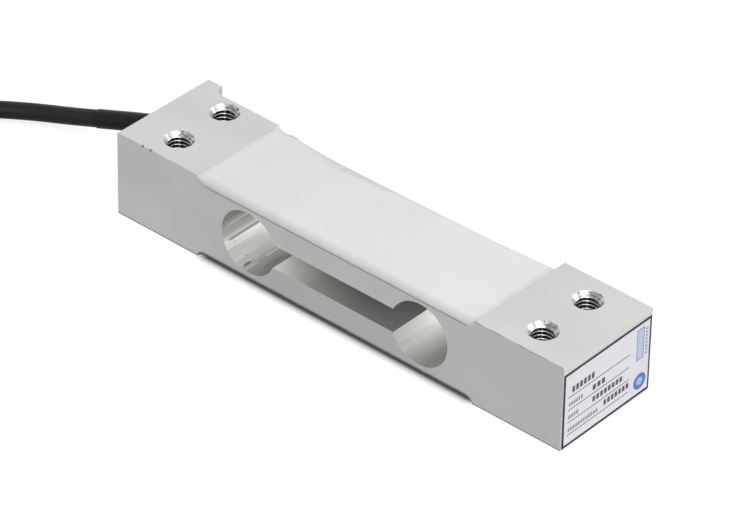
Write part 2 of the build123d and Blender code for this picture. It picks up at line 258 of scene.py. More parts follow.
class Finish(Tree):
    """A material, with its colours, roughness and bump from noise and from places on the object."""

    def __init__(self, name, colour, roughness, **inputs):
        self.material = bpy.data.materials.new(name)
        self.material.use_nodes = True
        super().__init__(self.material.node_tree)
        self.shader = self.tree.nodes["Principled BSDF"]
        self.feed(Base_Color=(*colour[:3], 1.0), Roughness=roughness, **inputs)
        self.place = self.add("ShaderNodeTexCoord").outputs["Object"]

    def feed(self, **inputs):
        """Sets or links the shader's inputs, with underscores for the spaces in their names."""
        for name, value in inputs.items():
            self.put(value, self.shader.inputs[name.replace("_", " ")])

    def square_sum(self, a, b):
        """a squared plus b squared."""
        return self.plus(self.math("POWER", a, 2), self.math("POWER", b, 2))

    def reach(self, a, b):
        """The length of the vector (a, b)."""
        return self.math("POWER", self.square_sum(a, b), 0.5)

    def from_pair(self, value, distance):
        """How far a value is past the nearer of two places, which are a distance to both sides of 0."""
        return self.minus(value, self.times(self.math("SIGN", value), distance))

    def axes(self):
        """X, Y and Z in millimetres."""
        scaled = self.add("ShaderNodeVectorMath", {0: self.place, "Scale": 1 / MM}, operation="SCALE")
        return self.add("ShaderNodeSeparateXYZ", {0: scaled.outputs[0]}).outputs[:3]

    def noise(self, per_mm, detail=2.0, rough=0.5):
        """Noise with so many cells to the millimetre along X, Y and Z."""
        scale = [rate / MM for rate in per_mm]
        mapped = self.add("ShaderNodeMapping", {"Vector": self.place, "Scale": scale})
        values = {"Vector": mapped.outputs[0], "Scale": 1.0, "Detail": detail, "Roughness": rough}
        return self.add("ShaderNodeTexNoise", values).outputs["Fac"]

    def ramp(self, value, low, high, at_low=0.0, at_high=1.0, smooth=True):
        """Maps a value from low-high to two others, held beyond them."""
        kind = "SMOOTHSTEP" if smooth else "LINEAR"
        values = {"Value": value, "From Min": low, "From Max": high, "To Min": at_low, "To Max": at_high}
        return self.add("ShaderNodeMapRange", values, interpolation_type=kind).outputs[0]

    def spread(self, noise, at_low=0.0, at_high=1.0):
        """Spreads a noise, most of which lies between 0.3 and 0.7, from one value to another."""
        return self.ramp(noise, 0.3, 0.7, at_low, at_high)

    def mix(self, share, first, second):
        """A colour between two, by a share."""
        made = self.add("ShaderNodeMix", data_type="RGBA")
        for index, value in ((0, share), (6, first), (7, second)):
            self.put(value, made.inputs[index])
        return made.outputs[2]

    def choose(self, share, first, second):
        """A number between two, by a share."""
        made = self.add("ShaderNodeMix", {0: share, 2: first, 3: second}, data_type="FLOAT")
        return made.outputs[0]

    def steps(self, value, stops):
        """A number that goes through (value, number) stops with straight lines between them."""
        result = stops[0][1]
        for (low, first), (high, second) in zip(stops, stops[1:]):
            share = self.ramp(value, low, high, smooth=False)
            result = self.plus(result, self.times(share, second - first))
        return result

    def toned(self, tone, colour):
        """A colour darkened by a tone from 1 down to 0."""
        return self.mix(tone, BLACK, (*colour[:3], 1.0))

    def bump(self, height, distance_mm, strength):
        """Bump from a height that stands for so many millimetres."""
        values = {"Height": height, "Distance": distance_mm * MM, "Strength": strength}
        self.feed(Normal=self.add("ShaderNodeBump", values).outputs[0])


def shade(colour, factor):
    """A colour made darker or brighter by a factor."""
    return (*[min(1.0, c * factor) for c in colour[:3]], 1.0)


# Painted light and shade on the lobes' walls: how bright they are by the angle round each lobe in degrees
# from +X over +Z
FIXED_LOBE_SHADING = [
    (90, 1.0),
    (120, 0.42),
    (168, 0.42),
    (176, 0.66),
    (203, 0.68),
    (207, 0.76),
    (228, 0.84),
    (250, 0.92),
    (262, 0.66),
    (290, 0.42),
    (320, 0.42),
    (330, 1.0),
]
LOAD_LOBE_SHADING = [
    (140, 1.0),
    (145, 0.3),
    (200, 0.35),
    (203, 1.0),
    (240, 1.0),
    (256, 0.8),
    (285, 0.6),
    (330, 1.0),
]
# Painted reflections on the fixed lobe's wall, as streaks: angle, half width in degrees, start and end
# along Y, tone
LOBE_REFLECTIONS = [
    (180.5, 3.0, -12.8, -6.0, 0.92),
    (205.5, 3.0, -13.4, -3.0, 0.3),
    (217.0, 2.0, -15.5, -6.6, 0.95),
    (262.5, 2.0, -15.5, -11.0, 1.0),
    (261.0, 2.4, -7.6, -3.0, 1.0),
    (281.0, 2.0, -12.0, -6.0, 0.32),
]
# Dark spots there: angle, place along Y, half width in degrees, half length along Y
LOBE_DARK_SPOTS = [(213.0, -12.2, 1.1, 0.16), (241.0, -11.4, 1.2, 0.17), (254.5, -12.9, 2.4, 1.3)]
DARK_SPOT_TONE = 0.3
# The slot: half its height, the colour of its walls, and the painted shade on its floor along X
SLOT_HALF = 3.1
SLOT_COLOUR = (0.96, 0.94, 0.91)
SLOT_FLOOR_SHADE = [(-17.5, 1.0), (-15.0, 0.8), (-11.0, 0.58), (-6.0, 0.36), (4.0, 0.24), (17.0, 0.21)]
# Nicks on the top front edge: their places along X, and how far they reach at full depth and in all
EDGE_NICKS = (-57.2, -54.8)
NICK_FULL = 0.45
NICK_REACH = 0.6


def metal_finish(name, settings):
    """Fine milled, clear anodised aluminium.

    The lobes' walls are bored bright, with streaks along Y and painted light, shade and reflections round
    each lobe, and painted shade darkens the slot's floor. The front edges carry thin lines of painted
    shade.
    """
    base = tuple(settings.metal_colour)
    finish = Finish(name, base, settings.metal_roughness, Metallic=settings.metal_share)
    x, y, z = finish.axes()
    across = finish.from_pair(x, LOBE_X)
    up = finish.minus(z, MID_HEIGHT)
    between = finish.ramp(finish.absolute(x), LOBE_X, LOBE_X - 0.1)
    in_slot = finish.times(between, finish.ramp(finish.absolute(up), SLOT_HALF + 0.04, SLOT_HALF + 0.01))
    in_lobe = finish.ramp(finish.reach(across, up), LOBE_RADIUS + 0.12, LOBE_RADIUS + 0.02)
    in_lobe = finish.times(in_lobe, finish.minus(1.0, in_slot))
    cut_wall = finish.larger(in_lobe, in_slot)
    streaks = finish.noise((1.6, 0.02, 1.6), detail=4.0, rough=0.65)
    clouds = finish.noise((0.035, 0.05, 0.05))
    grain = finish.noise((0.5, 9.0, 9.0))

    # The flat faces: painted shade on the front toward the load end and under the lobes, painted light on
    # that end
    tint = finish.mix(finish.ramp(clouds, 0.35, 0.65), shade(base, 0.965), shade(base, 1.02))
    on_front = finish.ramp(y, BODY_LOW[1] + 0.05, BODY_LOW[1] + 0.02)
    # Painted shade: the front face darkens toward the load end
    front_shade_to_load_end = finish.times(on_front, finish.ramp(x, -30.0, BODY_HIGH[0], 0.0, 1.0))
    tint = finish.mix(front_shade_to_load_end, tint, shade(base, 0.9))
    # Painted shade: the front face darkens under the lobes
    lower = finish.times(finish.ramp(up, 0.0, -3.0), finish.ramp(finish.absolute(x), 40.0, 18.0))
    tint = finish.mix(finish.times(lower, on_front), tint, shade(base, 0.83))
    from_end = finish.minus(BODY_HIGH[0], x)
    from_edge = finish.plus(from_end, finish.minus(BODY_HIGH[2], z))
    # Painted light brightens the load end's face
    tint = finish.mix(finish.ramp(from_end, 0.04, 0.02), tint, shade(base, 1.24))
    # Painted shade darkens the chamfer between the load end's face and the top
    tint = finish.mix(finish.ramp(from_edge, 0.18, 0.155), tint, shade(base, 0.62))

    # The cut walls, with their painted light and shade, and the painted shade lines and the nicks of the
    # front edges
    # Painted light, shade and reflections on the lobes' walls
    lobe_tone = lobe_light_and_shade(finish, x, y, across, up)
    lobe_tone = finish.times(lobe_tone, finish.spread(streaks, 0.93, 1.05))
    # Painted shade on the slot's floor, darker toward the load end
    slot_floor_shade = finish.choose(finish.math("GREATER_THAN", up, 0.0), finish.steps(x, SLOT_FLOOR_SHADE), 1.0)
    tint = finish.mix(in_lobe, tint, finish.toned(lobe_tone, settings.bored_colour))
    tint = finish.mix(in_slot, tint, finish.toned(slot_floor_shade, SLOT_COLOUR))
    # Painted shade lines on the front edges, and the dark nicks
    tint = finish.mix(front_shade_lines_and_nicks(finish, x, y, z), tint, shade(base, 0.3))

    rough = settings.metal_roughness
    even = finish.ramp(grain, 0.2, 0.8, rough - 0.05, rough + 0.05)
    streaky = finish.spread(streaks, 0.3, 0.45)
    finish.feed(Base_Color=tint, Roughness=finish.choose(cut_wall, even, streaky))
    finish.feed(Metallic=finish.choose(in_slot, settings.metal_share, 0.1))
    finish.bump(finish.plus(finish.times(grain, 0.25), finish.times(cut_wall, streaks)), 0.02, 0.5)
    return finish.material


def lobe_light_and_shade(finish, x, y, across, up):
    """Painted light and shade on the lobes' walls: tones round each lobe, and painted reflections and dark
    spots on the fixed one.
    """
    degrees = finish.times(finish.math("ARCTAN2", up, across), 180 / math.pi)
    wrapped = finish.add("ShaderNodeMath", {0: degrees, 1: 360.0, 2: 0.0}, operation="WRAP")
    degrees = wrapped.outputs[0]
    on_load_side = finish.math("GREATER_THAN", x, 0.0)
    on_fixed_side = finish.minus(1.0, on_load_side)
    # Painted light: the load lobe's wall grows brighter deeper in
    deeper = finish.ramp(y, BODY_LOW[1], -4.0, 0.72, 1.0, smooth=False)
    load_tone = finish.times(finish.steps(degrees, LOAD_LOBE_SHADING), deeper)
    result = finish.choose(on_load_side, finish.steps(degrees, FIXED_LOBE_SHADING), load_tone)
    # Painted reflections: light and dark streaks on the fixed lobe's wall
    for angle, half, low_y, high_y, tone in LOBE_REFLECTIONS:
        mask = finish.ramp(finish.absolute(finish.minus(degrees, angle)), half, half * 0.4)
        mask = finish.times(mask, finish.ramp(y, low_y - 0.5, low_y + 0.5))
        mask = finish.times(mask, finish.ramp(y, high_y + 0.8, high_y - 0.8))
        result = finish.choose(finish.times(mask, on_fixed_side), result, tone)
    # Dark spots on the fixed lobe's wall
    for angle, place, half, length in LOBE_DARK_SPOTS:
        turned = finish.math("DIVIDE", finish.minus(degrees, angle), half)
        along = finish.math("DIVIDE", finish.minus(y, place), length)
        mask = finish.ramp(finish.square_sum(turned, along), 1.3, 0.5)
        result = finish.choose(finish.times(mask, on_fixed_side), result, DARK_SPOT_TONE)
    return result


def front_shade_lines_and_nicks(finish, x, y, z):
    """1 on painted shade lines at the front face's broken edges and under the silicone, and in the two
    nicks.
    """
    out = finish.minus(y, BODY_LOW[1])
    from_top = finish.minus(BODY_HIGH[2], z)
    # Painted shade along the break of the top front edge, broken up unevenly
    top_edge = finish.ramp(finish.plus(out, from_top), 0.17, 0.15)
    uneven = finish.ramp(finish.noise((0.35, 0.35, 0.35)), 0.35, 0.65, 0.45, 1.0)
    kept = finish.times(uneven, finish.ramp(x, -40.0, 40.0, 0.5, 0.9))
    top_edge = finish.times(top_edge, kept)
    # Painted contact shadow along the front face's bottom edge
    bottom_contact_shadow = finish.ramp(finish.plus(out, z), 0.44, 0.4)
    # A line of painted shade under the silicone's front edge
    under = finish.minus(BODY_HIGH[2] - RECESS_DEPTH, z)
    line = finish.times(finish.ramp(under, 0.2, 0.14), finish.ramp(out, 0.03, 0.01))
    line = finish.times(line, finish.ramp(finish.absolute(x), 38.6, 38.2))
    total = finish.larger(finish.larger(top_edge, bottom_contact_shadow), line)
    for place in EDGE_NICKS:
        near = finish.plus(finish.absolute(finish.minus(x, place)), out)
        nick = finish.ramp(finish.plus(near, from_top), NICK_REACH, NICK_FULL)
        total = finish.larger(total, nick)
    return total


def thread_finish(name):
    """Bright cut metal: the countersinks and the threads' crests shine, and painted shade darkens the
    threads' roots.
    """
    base, crest, root = (0.56, 0.56, 0.555, 1.0), (0.5, 0.5, 0.5, 1.0), (0.06, 0.06, 0.065, 1.0)
    finish = Finish(name, base, 0.2, Metallic=1.0)
    x, y, z = finish.axes()
    across = finish.from_pair(x, HOLE_X)
    along = finish.from_pair(y, HOLE_Y)
    reach = finish.reach(across, along)
    depth = finish.minus(MID_HEIGHT, finish.absolute(finish.minus(z, MID_HEIGHT)))
    marks = finish.noise((0.9, 0.9, 5.0))

    # Painted shade as dull streaks on the countersinks' rear side, and dull marks all round
    side = finish.plus(finish.times(across, -0.2), finish.times(along, 0.98))
    side = finish.math("DIVIDE", side, reach)
    dull_marks_and_shade = finish.times(finish.ramp(side, 0.68, 0.84), finish.ramp(marks, 0.62, 0.45, 0.45, 1.0))
    dull_marks_and_shade = finish.larger(dull_marks_and_shade, finish.ramp(marks, 0.54, 0.42, 0.0, 0.42))
    cone = finish.mix(dull_marks_and_shade, base, shade(base, 0.3))
    # Painted shade: the threads' roots are dark, their crests lighter
    thread = finish.mix(finish.ramp(reach, THREAD_MINOR + 0.1, THREAD_MINOR + 0.03), root, crest)
    tint = finish.mix(finish.ramp(depth, 1.0, 1.3), cone, thread)
    finish.feed(Base_Color=tint, Roughness=finish.ramp(marks, 0.35, 0.65, 0.14, 0.3))
    finish.bump(marks, 0.03, 0.4)
    return finish.material


def silicone_finish(name, settings):
    """White silicone: cloudy, darker at its ends, with painted shade on its front rim and where it is shut
    in.
    """
    base = tuple(settings.silicone_colour)
    finish = Finish(name, base, 0.42, Subsurface_Weight=0.25, Subsurface_Scale=1.5 * MM)
    finish.feed(Subsurface_Radius=(1.0, 0.95, 0.9))
    clouds = finish.noise((0.06, 0.08, 0.08))
    skin = finish.noise((0.9, 1.1, 1.1), detail=3.0)
    x, y, _ = finish.axes()
    tone = finish.spread(clouds, 0.97, 1.0)
    # Darker toward its ends
    tone = finish.times(tone, finish.ramp(finish.absolute(x), 38.6, 40.6, 1.0, 0.9))
    # Painted shade on the front rim
    tone = finish.times(tone, finish.ramp(y, BODY_LOW[1] + 0.1, BODY_LOW[1] + 2.0, 0.76, 1.0))
    # Painted shade where it is shut in, from ambient occlusion
    near = finish.add("ShaderNodeAmbientOcclusion", {"Distance": 8 * MM}, samples=8).outputs["AO"]
    tone = finish.times(tone, finish.ramp(near, 0.4, 0.85, 0.06, 1.0))
    finish.feed(Base_Color=finish.toned(tone, base), Roughness=finish.spread(skin, 0.36, 0.5))
    finish.bump(skin, 0.05, 0.35)
    return finish.material


def plastic_finish(name, colour, roughness, gloss=0.5):
    """Extruded or moulded plastic: a slightly uneven tone and a fine grain."""
    finish = Finish(name, colour, roughness, Specular_IOR_Level=gloss)
    clouds = finish.noise((0.15, 0.15, 0.15), detail=3.0)
    pores = finish.noise((3.0, 3.0, 3.0))
    tint = finish.mix(finish.spread(clouds), shade(colour, 0.88), shade(colour, 1.12))
    finish.feed(Base_Color=tint, Roughness=finish.spread(pores, roughness - 0.06, roughness + 0.06))
    finish.bump(pores, 0.01, 0.4)
    return finish.material


def bright_finish(name, colour, roughness):
    """Solder, tinned copper or etched foil."""
    finish = Finish(name, colour, roughness, Metallic=1.0)
    mottle = finish.noise((1.5, 1.5, 1.5), detail=3.0)
    tint = finish.mix(finish.spread(mottle), shade(colour, 0.85), shade(colour, 1.05))
    finish.feed(Base_Color=tint, Roughness=finish.spread(mottle, roughness - 0.08, roughness + 0.1))
    finish.bump(mottle, 0.03, 0.4)
    return finish.material


# The label's print from its middle: boxes by their middle and half sizes, in millimetres
LABEL_MIDDLE = 10.3
LABEL_TILT = 0.7
# How soft its edges are, and the blocks' ends as a share of their pitch
LABEL_SOFT = 0.03
LABEL_FRAME = (0.0, 0.05, 14.15, 9.2)
LABEL_RULES = [(-2.75, z, 10.35, 0.11) for z in (3.15, -0.25, -3.57, -6.9)]
LABEL_PALE_BARS = [(-10.4, 1.15, 2.4, 0.5), (-11.1, -2.2, 1.8, 0.5), (-7.8, -5.65, 5.1, 0.5)]
LABEL_DARK_BARS = [
    (-8.0, 4.75, 3.9, 0.8),
    (-2.6, 1.3, 2.3, 0.7),
    (0.4, -1.9, 5.2, 0.7),
    (3.5, -5.0, 4.4, 0.7),
]
LABEL_BOX = (11.1, 4.1, 1.25, 4.15)
LABEL_BOX_LINE = 0.22
LABEL_STRIP = (13.2, 4.1, 0.4, 3.7)
# The ring by its middle and its radius
LABEL_RING = (11.4, -6.1, 2.1)
# The rows of blocks: bars, colour, and the blocks' pitch, which is fitted to each bar's length
LABEL_ROWS = [
    (LABEL_PALE_BARS, (0.26, 0.27, 0.3, 1.0), 0.85),
    (LABEL_DARK_BARS, (0.08, 0.085, 0.1, 1.0), 1.35),
]
LABEL_INK = (0.02, 0.021, 0.025, 1.0)
LABEL_RULE_COLOUR = (0.04, 0.045, 0.055, 1.0)
LABEL_STRIP_COLOUR = (0.33, 0.4, 0.62, 1.0)
LABEL_BOX_COLOUR = (0.55, 0.6, 0.76, 1.0)
LABEL_RING_INSIDE = (0.42, 0.52, 0.72, 1.0)


def label_finish(name, settings):
    """White film with a black frame, thin rules, rows of plain blocks, a blue box and a blue ring."""
    film, blue = tuple(settings.film_colour), (*settings.mark_colour[:3], 1.0)
    finish = Finish(name, film, 0.3, Specular_IOR_Level=0.2)
    _, y, z = finish.axes()
    level = finish.minus(z, LABEL_MIDDLE)
    cosine, sine = math.cos(math.radians(LABEL_TILT)), math.sin(math.radians(LABEL_TILT))
    place_y = finish.plus(finish.times(y, cosine), finish.times(level, sine))
    place_z = finish.plus(finish.times(level, cosine), finish.times(y, -sine))

    def inside(middle_y, middle_z, half_y, half_z):
        """1 inside a box, with a soft edge."""
        across = finish.absolute(finish.minus(place_y, middle_y))
        up = finish.absolute(finish.minus(place_z, middle_z))
        mask_y = finish.ramp(across, half_y + LABEL_SOFT, half_y - LABEL_SOFT)
        return finish.times(mask_y, finish.ramp(up, half_z + LABEL_SOFT, half_z - LABEL_SOFT))

    def blocks(along, start, pitch, share):
        """1 in blocks at a pitch along an axis, 0 in the gaps between them."""
        phase = finish.math("FRACT", finish.math("DIVIDE", finish.minus(along, start), pitch))
        return finish.ramp(phase, share + LABEL_SOFT, share - LABEL_SOFT)

    mottle = finish.noise((0.8, 0.8, 0.8), detail=3.0)
    paper = finish.mix(finish.spread(mottle), shade(film, 0.992), shade(film, 1.008))
    for bars, colour, wanted in LABEL_ROWS:
        for middle_y, middle_z, half_y, half_z in bars:
            pitch = 2 * half_y / round(2 * half_y / wanted)
            mask = finish.times(
                inside(middle_y, middle_z, half_y, half_z),
                blocks(place_y, middle_y - half_y, pitch, 0.7),
            )
            paper = finish.mix(mask, paper, colour)
    for numbers in LABEL_RULES:
        paper = finish.mix(inside(*numbers), paper, LABEL_RULE_COLOUR)
    _, middle_z, _, half_z = LABEL_STRIP
    mask = finish.times(inside(*LABEL_STRIP), blocks(place_z, middle_z - half_z, half_z / 4, 0.65))
    paper = finish.mix(mask, paper, LABEL_STRIP_COLOUR)
    middle_y, middle_z, half_y, half_z = LABEL_BOX
    mask = inside(middle_y, middle_z, half_y - LABEL_BOX_LINE, half_z - LABEL_BOX_LINE)
    paper = finish.mix(mask, finish.mix(inside(*LABEL_BOX), paper, blue), LABEL_BOX_COLOUR)
    middle_y, middle_z, radius = LABEL_RING
    reach = finish.reach(finish.minus(place_y, middle_y), finish.minus(place_z, middle_z))
    paper = finish.mix(finish.ramp(reach, radius + 0.05, radius - 0.05), paper, blue)
    paper = finish.mix(finish.ramp(reach, radius * 0.55, radius * 0.45), paper, LABEL_RING_INSIDE)
    paper = finish.mix(inside(*LABEL_FRAME), LABEL_INK, paper)
    finish.feed(Base_Color=paper, Roughness=finish.spread(mottle, 0.29, 0.33))
    finish.bump(mottle, 0.005, 0.1)
    return finish.material


# The beam


def beam_copy():
    """The beam's own mesh with the walls of its four holes moved out to the countersinks' rims."""
    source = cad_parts["load_cell_body"]
    piece = placed("beam", source.data.copy())
    piece.data.attributes.remove(piece.data.attributes["custom_normal"])
    finish_mesh(piece, 30.0)
    points = np.empty(len(piece.data.vertices) * 3)
    piece.data.vertices.foreach_get("co", points)
    points = points.reshape(-1, 3)
    for x in (-HOLE_X * MM, HOLE_X * MM):
        for y in (-HOLE_Y * MM, HOLE_Y * MM):
            offset = points[:, :2] - (x, y)
            reach = np.linalg.norm(offset, axis=1)
            near = reach < (COUNTERSINK_RADIUS + 0.02) * MM
            points[near, :2] = (x, y) + offset[near] / reach[near, None] * COUNTERSINK_RADIUS * MM
    piece.data.vertices.foreach_set("co", points.ravel())
    piece.data.update()
    finish_mesh(piece, 30.0)
    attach(piece, ROOT)
    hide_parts("load_cell_body")
    return piece


def tapped_wall(name, x, y):
    """One tapped hole's wall, as a closed ring of metal.

    Its inner radius at height z and angle a is the larger of the countersink's cone and the thread:
    a 60 degree zigzag between the minor and the major radius, of z - pitch * a / (2 pi), with a flat
    crest and root. Its outer wall is a cylinder through the countersinks' rims.
    """
    height = BODY_HIGH[2]
    z = np.linspace(0.0, height, THREAD_ROWS)[:, None]
    a = np.linspace(0.0, 2 * np.pi, THREAD_SIDES, endpoint=False)[None, :]
    phase = np.mod(z / THREAD_PITCH - a / (2 * np.pi), 1.0)
    tooth = np.clip((np.abs(phase - 0.5) * 2 - CREST_SHARE) / FLANK_SHARE, 0.0, 1.0)
    thread = THREAD_MINOR + (THREAD_MAJOR - THREAD_MINOR) * tooth
    cone = COUNTERSINK_RADIUS - np.minimum(z, height - z)
    inner = np.maximum(thread, cone)
    walls = [grid_points(x + r * np.cos(a), y + r * np.sin(a), z) for r in (inner, COUNTERSINK_RADIUS)]
    points = np.concatenate([walls[0], walls[1][[-1, 0]]])
    faces = grid_faces(*points.shape[:2], wrap_rows=True, wrap_columns=True)
    return make_piece(name, points, faces, 40.0)


# Silicone

# The usual power of its rounded edges, and the width of its rounding along the beam's front
SHOULDER_POWER = 2.2
FRONT_SLOPE = 1.5
# The gap to the walls, the ripples' height and length, and the run over which it climbs to the pads
SKIN_GAP = 0.03
RIPPLE = 0.035
RIPPLE_LENGTH = 16.0
CLIMB_RUN = 3.2
# The least height of its top and of its underside over the floor
LEAST_TOP = 0.006
LEAST_UNDER = 0.002
SLAB_ROWS = 201
SLAB_COLUMNS = 61


def shoulder(distance, width, power=SHOULDER_POWER):
    """Height from 0 to 1 over a distance from an edge: a superellipse quarter."""
    share = 1 - np.clip(distance / width, 0, 1)
    return (1 - share**power) ** (1 / power)


# How the silicone falls off to the rear edge: X, width of the slope and its superellipse's power. On
# top it is steep over the wires, long beside them and short again toward the load end.
TOP_REAR_SLOPE = [
    (-38.5, 2.4, 2.2),
    (-34.0, 2.9, 2.2),
    (-30.0, 4.0, 1.7),
    (-25.0, 4.5, 1.35),
    (-20.0, 4.2, 1.2),
    (-10.0, 3.1, 1.2),
    (0.0, 2.2, 1.2),
    (18.0, 1.7, 1.2),
    (30.0, 1.15, 1.3),
    (38.0, 0.8, 2.0),
]
BOTTOM_REAR_SLOPE = [(0.0, 0.7, 2.2)]
# The rear pad's lower and upper edge, its two tongues' ends within it, their place along X and depth
PAD_Z = (2.7, 19.3)
TONGUE_Z = (5.5, 16.5)
TONGUE_X = (-37.9, -35.0)
TONGUE_DEPTH = 0.9


def silicone_slab(name, thickness, seed, rear_slope, mirrored):
    """The silicone in a gauge recess, as a closed skin.

    Its underside follows the recess: flat, then a quarter circle up at each end. Its top lies at a
    thickness that ripples by a few hundredths and climbs to the pads' level at both ends. Across the
    beam it rises as a superellipse quarter at the front edge and at the rear edge, where its width and
    power change along the beam.
    """
    s = np.sin(np.linspace(-np.pi / 2, np.pi / 2, SLAB_ROWS))[:, None]
    t = (1 - np.cos(np.linspace(0, np.pi, SLAB_COLUMNS)))[None, :] / 2
    flat = RECESS_HALF - RECESS_FILLET
    end = flat + math.sqrt(RECESS_FILLET**2 - (RECESS_FILLET - RECESS_DEPTH + SKIN_GAP) ** 2)
    front, rear = BODY_LOW[1] + SKIN_GAP, REAR_WALL - 0.02
    x, y = s * end, front + (rear - front) * t
    over = np.clip(np.abs(x) - flat, 0, None)
    floor = RECESS_FILLET - np.sqrt(np.clip(RECESS_FILLET**2 - over**2, 0, None))
    climb = np.clip((np.abs(x) - end + CLIMB_RUN) / CLIMB_RUN, 0, 1) ** 2
    level = thickness + RIPPLE * waves(x, y, seed, RIPPLE_LENGTH)
    level = level + climb * (RECESS_DEPTH - SKIN_GAP - thickness)
    level = np.maximum(level, floor + 0.01)
    stops, widths, powers = zip(*rear_slope)
    fall = shoulder(rear - y, np.interp(x, stops, widths), np.interp(x, stops, powers))
    edge = shoulder(y - front, FRONT_SLOPE) * fall
    edge = edge + (1 - edge) * climb * 0.25
    top = floor + LEAST_TOP + (level - floor - LEAST_TOP) * edge
    base = BODY_HIGH[2] - RECESS_DEPTH
    upper = grid_points(x, y, base + top)
    lower = grid_points(x, y, base + floor + LEAST_UNDER)
    points = np.concatenate([upper, lower[:, ::-1]], 1)
    if mirrored:
        points[..., 2] = 2 * MID_HEIGHT - points[..., 2]
    faces = grid_faces(*points.shape[:2], wrap_columns=True)
    return make_piece(name, points, closed_ends(faces, *points.shape[:2]), 40.0)


def closed_ends(faces, rows, columns):
    """The faces of a run of rings, with a polygon over its first and its last ring."""
    first = list(range(columns))
    last = [(rows - 1) * columns + j for j in reversed(range(columns))]
    return [*faces.tolist(), first, last]


def silicone_pad(low, high, seed, edge, columns, rows):
    """A soft pad on the rear wall: a height over X and Z that rises as a superellipse from each edge."""
    x = low[0] + (high[0] - low[0]) * (1 - np.cos(np.linspace(0, np.pi, columns)))[:, None] / 2
    z = low[2] + (high[2] - low[2]) * (1 - np.cos(np.linspace(0, np.pi, rows)))[None, :] / 2
    rise = np.ones(np.broadcast(x, z).shape)
    for distance in (x - low[0], high[0] - x, z - low[2], high[2] - z):
        rise = rise * shoulder(distance, edge)
    depth = high[1] - low[1]
    y = low[1] + depth * rise * (1 - 0.05 * (1 + waves(x, z, seed, 7.0)))
    upper, lower = grid_points(x, y, z), grid_points(x, low[1], z)
    points = np.concatenate([upper.reshape(-1, 3), lower.reshape(-1, 3)])
    faces = grid_faces(columns, rows)
    return points, np.concatenate([faces, faces[:, ::-1] + columns * rows])


# The cable


def half_turn(centre_x, centre_y, radius, start, sweep):
    """The control points of a half turn, with one before and one after it on the straight runs.

    Its own lie outside its circle by 1 / cos(half a step).
    """
    step = sweep / HANK_STEPS
    angles = start + step * (np.arange(HANK_STEPS) + 0.5)
    reach = radius / math.cos(step / 2)
    points = np.stack([centre_x + reach * np.cos(angles), centre_y + reach * np.sin(angles)], -1)
    along = radius * math.tan(abs(step) / 2)
    turn = 1 if step > 0 else -1
    ends = []
    for angle, way in ((start, -1), (start + sweep, 1)):
        touch = np.array([centre_x + radius * math.cos(angle), centre_y + radius * math.sin(angle)])
        ends.append(touch + way * turn * along * np.array([-math.sin(angle), math.cos(angle)]))
    return np.vstack([ends[0], points, ends[1]])


def cable_points():
    """The whole cable: the free route, then the hank's turns from the outside in to its stripped end."""
    route = np.array(CABLE_ROUTE) + (*CABLE_EXIT[:2], 0.0)
    front_x, front_y, height = route[-1]
    far_x = front_x - HANK_RUN
    middle_y = front_y + HANK_BEND + 2 * CABLE_RADIUS
    turns = [
        half_turn(far_x, middle_y, HANK_BEND + 2 * CABLE_RADIUS, -np.pi / 2, -np.pi),
        half_turn(front_x, middle_y + CABLE_RADIUS, HANK_BEND + CABLE_RADIUS, np.pi / 2, -np.pi),
        half_turn(far_x, middle_y, HANK_BEND, -np.pi / 2, -np.pi),
    ]
    end = np.array([[far_x + HANK_TAIL, middle_y + HANK_BEND]])
    flat = np.vstack([*turns, end])
    return np.vstack([route, np.column_stack([flat, np.full(len(flat), height)])])


def smooth_line(name, points, radius=0.0):
    """A quadratic spline led by points in millimetres, round if it has a radius.

    The radius stands in the points, because a curve's box grows by their radius.
    """
    curve = bpy.data.curves.new(name, "CURVE")
    curve.dimensions = "3D"
    spline = curve.splines.new("NURBS")
    spline.points.add(len(points) - 1)
    spline.points.foreach_set("co", np.column_stack([points * MM, np.ones(len(points))]).ravel())
    spline.points.foreach_set("radius", np.full(len(points), radius * MM))
    spline.order_u = 3
    spline.use_endpoint_u = True
    spline.resolution_u = 10
    curve.bevel_depth = 1.0 if radius else 0.0
    curve.bevel_resolution = 8
    curve.use_fill_caps = True
    return placed(name, curve)


def line_points(points):
    """Points along the smooth line that some points lead, in millimetres."""
    guide = smooth_line("guide", points)
    mesh = bpy.data.meshes.new_from_object(guide)
    line = np.array([v.co for v in mesh.vertices]) / MM
    bpy.data.objects.remove(guide)
    bpy.data.meshes.remove(mesh)
    return line


def even_points(line, start, end, count):
    """Evenly spaced points of a line between two distances from its start."""
    steps = np.linalg.norm(np.diff(line, axis=0), axis=1)
    along = np.concatenate([[0.0], np.cumsum(steps)])
    wanted = np.linspace(start, end, count)
    return np.stack([np.interp(wanted, along, line[:, k]) for k in range(3)], -1)


def tube_around(name, line, radii, inner):
    """A tube with an inner wall, whose outer radius may change along it: rings square to the line.

    Each ring's two directions are the level one square to the line and the one square to both.
    """
    way = np.gradient(line, axis=0)
    way /= np.linalg.norm(way, axis=1)[:, None]
    level = np.cross(way, (0.0, 0.0, 1.0))
    level /= np.linalg.norm(level, axis=1)[:, None]
    upright = np.cross(level, way)
    a = np.linspace(0, 2 * np.pi, SLEEVE_SIDES, endpoint=False)[None, :, None]
    spread = level[:, None] * np.cos(a) + upright[:, None] * np.sin(a)
    outside = line[:, None] + spread * radii[:, None, None]
    inside = line[:, None] + spread * inner
    points = np.concatenate([outside, inside[::-1]])
    faces = grid_faces(2 * len(line), SLEEVE_SIDES, wrap_rows=True, wrap_columns=True)
    return make_piece(name, points, faces, 50.0)


# What a user can change


def colour_setting(name, description, default):
    return FloatVectorProperty(name=name, description=description, subtype="COLOR", default=default)


def share_setting(name, description, default):
    return FloatProperty(name=name, description=description, default=default, min=0.0, max=1.0)


